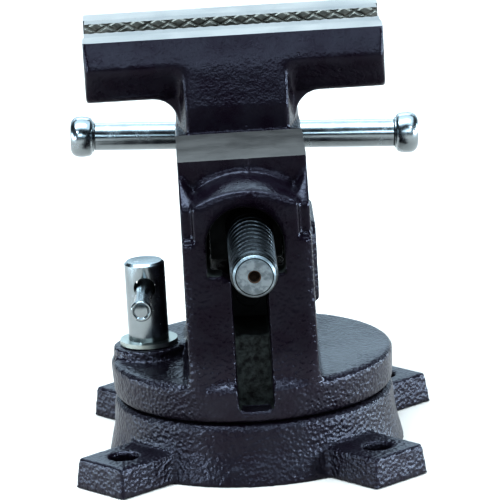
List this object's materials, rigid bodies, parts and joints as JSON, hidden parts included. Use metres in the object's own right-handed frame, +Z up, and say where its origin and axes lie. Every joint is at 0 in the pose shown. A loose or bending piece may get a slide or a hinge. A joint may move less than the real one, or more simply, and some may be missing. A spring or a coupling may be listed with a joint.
{
  "type": "bench vise",
  "caption": "Swivel-base bench vise with knurled jaw plates, a flat anvil behind the fixed jaw, a sliding moving jaw on a screw and a cross-handled swivel lock bolt.",
  "frame": {"origin": "on the swivel axis, at the bench plane under the base", "axes": "+Z up along the swivel axis, -Y towards the anvil and the screw's free end, +Y towards the moving jaw and the handle, +X to the right seen from the anvil end"},
  "size_m": [0.1253, 0.2042, 0.1368],
  "materials": {
    "enamel_casting": "hammered enamel",
    "jaw_plate_steel": "hardened, ground top",
    "fastener_steel": "satin",
    "raw_iron": "as cast, oiled",
    "zinc_steel": "dull zinc",
    "chrome_plate": "polished plate",
    "screw_steel": "turned, oiled"
  },
  "bodies": {
    "base": {"base": "enamel_casting"},
    "body": {"body": "enamel_casting", "fixed_jaw_plate": "jaw_plate_steel", "fixed_plate_screws": "fastener_steel", "main_nut": "raw_iron", "nut_bolt": "fastener_steel", "pivot_bolt": "fastener_steel", "pivot_washer": "zinc_steel", "lock_t_nut": "raw_iron"},
    "jaw": {"moving_jaw": "enamel_casting", "moving_jaw_plate": "jaw_plate_steel", "moving_plate_screws": "fastener_steel"},
    "screw": {"main_screw": "screw_steel", "thrust_washer": "zinc_steel", "retaining_collar": "raw_iron", "collar_pin": "fastener_steel"},
    "handle": {"handle_bar": "chrome_plate", "handle_knob_left": "chrome_plate", "handle_knob_right": "chrome_plate"},
    "lock": {"lock_bolt": "chrome_plate", "lock_washer": "zinc_steel"},
    "bar": {"lock_bar": "chrome_plate", "lock_bar_ends": "chrome_plate"}
  },
  "joints": [
    {"name": "swivel", "type": "hinge", "parent": "base", "child": "body", "pos_m": [0, 0, 0.0204], "axis": [0, 0, 1], "continuous": true},
    {"name": "jaw_slide", "type": "slide", "parent": "body", "child": "jaw", "axis": [0, 1, 0], "range_m": [-0.0142, 0.0355]},
    {"name": "screw_turn", "type": "hinge", "parent": "jaw", "child": "screw", "pos_m": [0.0012, 0.0777, 0.0808], "axis": [0, 1, 0], "range_deg": [-1030, 2565]},
    {"name": "handle_slide", "type": "slide", "parent": "screw", "child": "handle", "axis": [0.9988, 0, -0.0489], "range_m": [-0.0424, 0.0384]},
    {"name": "lock_turn", "type": "hinge", "parent": "body", "child": "lock", "pos_m": [-0.03397, 0.00154, 0.05], "axis": [0, 0, 1], "range_deg": [-165, 15]},
    {"name": "lock_bar_slide", "type": "slide", "parent": "lock", "child": "bar", "axis": [0.0523, 0.9986, 0], "range_m": [-0.0027, 0.0237]}
  ],
  "couplings": [
    {"joint": "screw_turn", "follows": "jaw_slide", "rad_per_m": 1256.6}
  ]
}
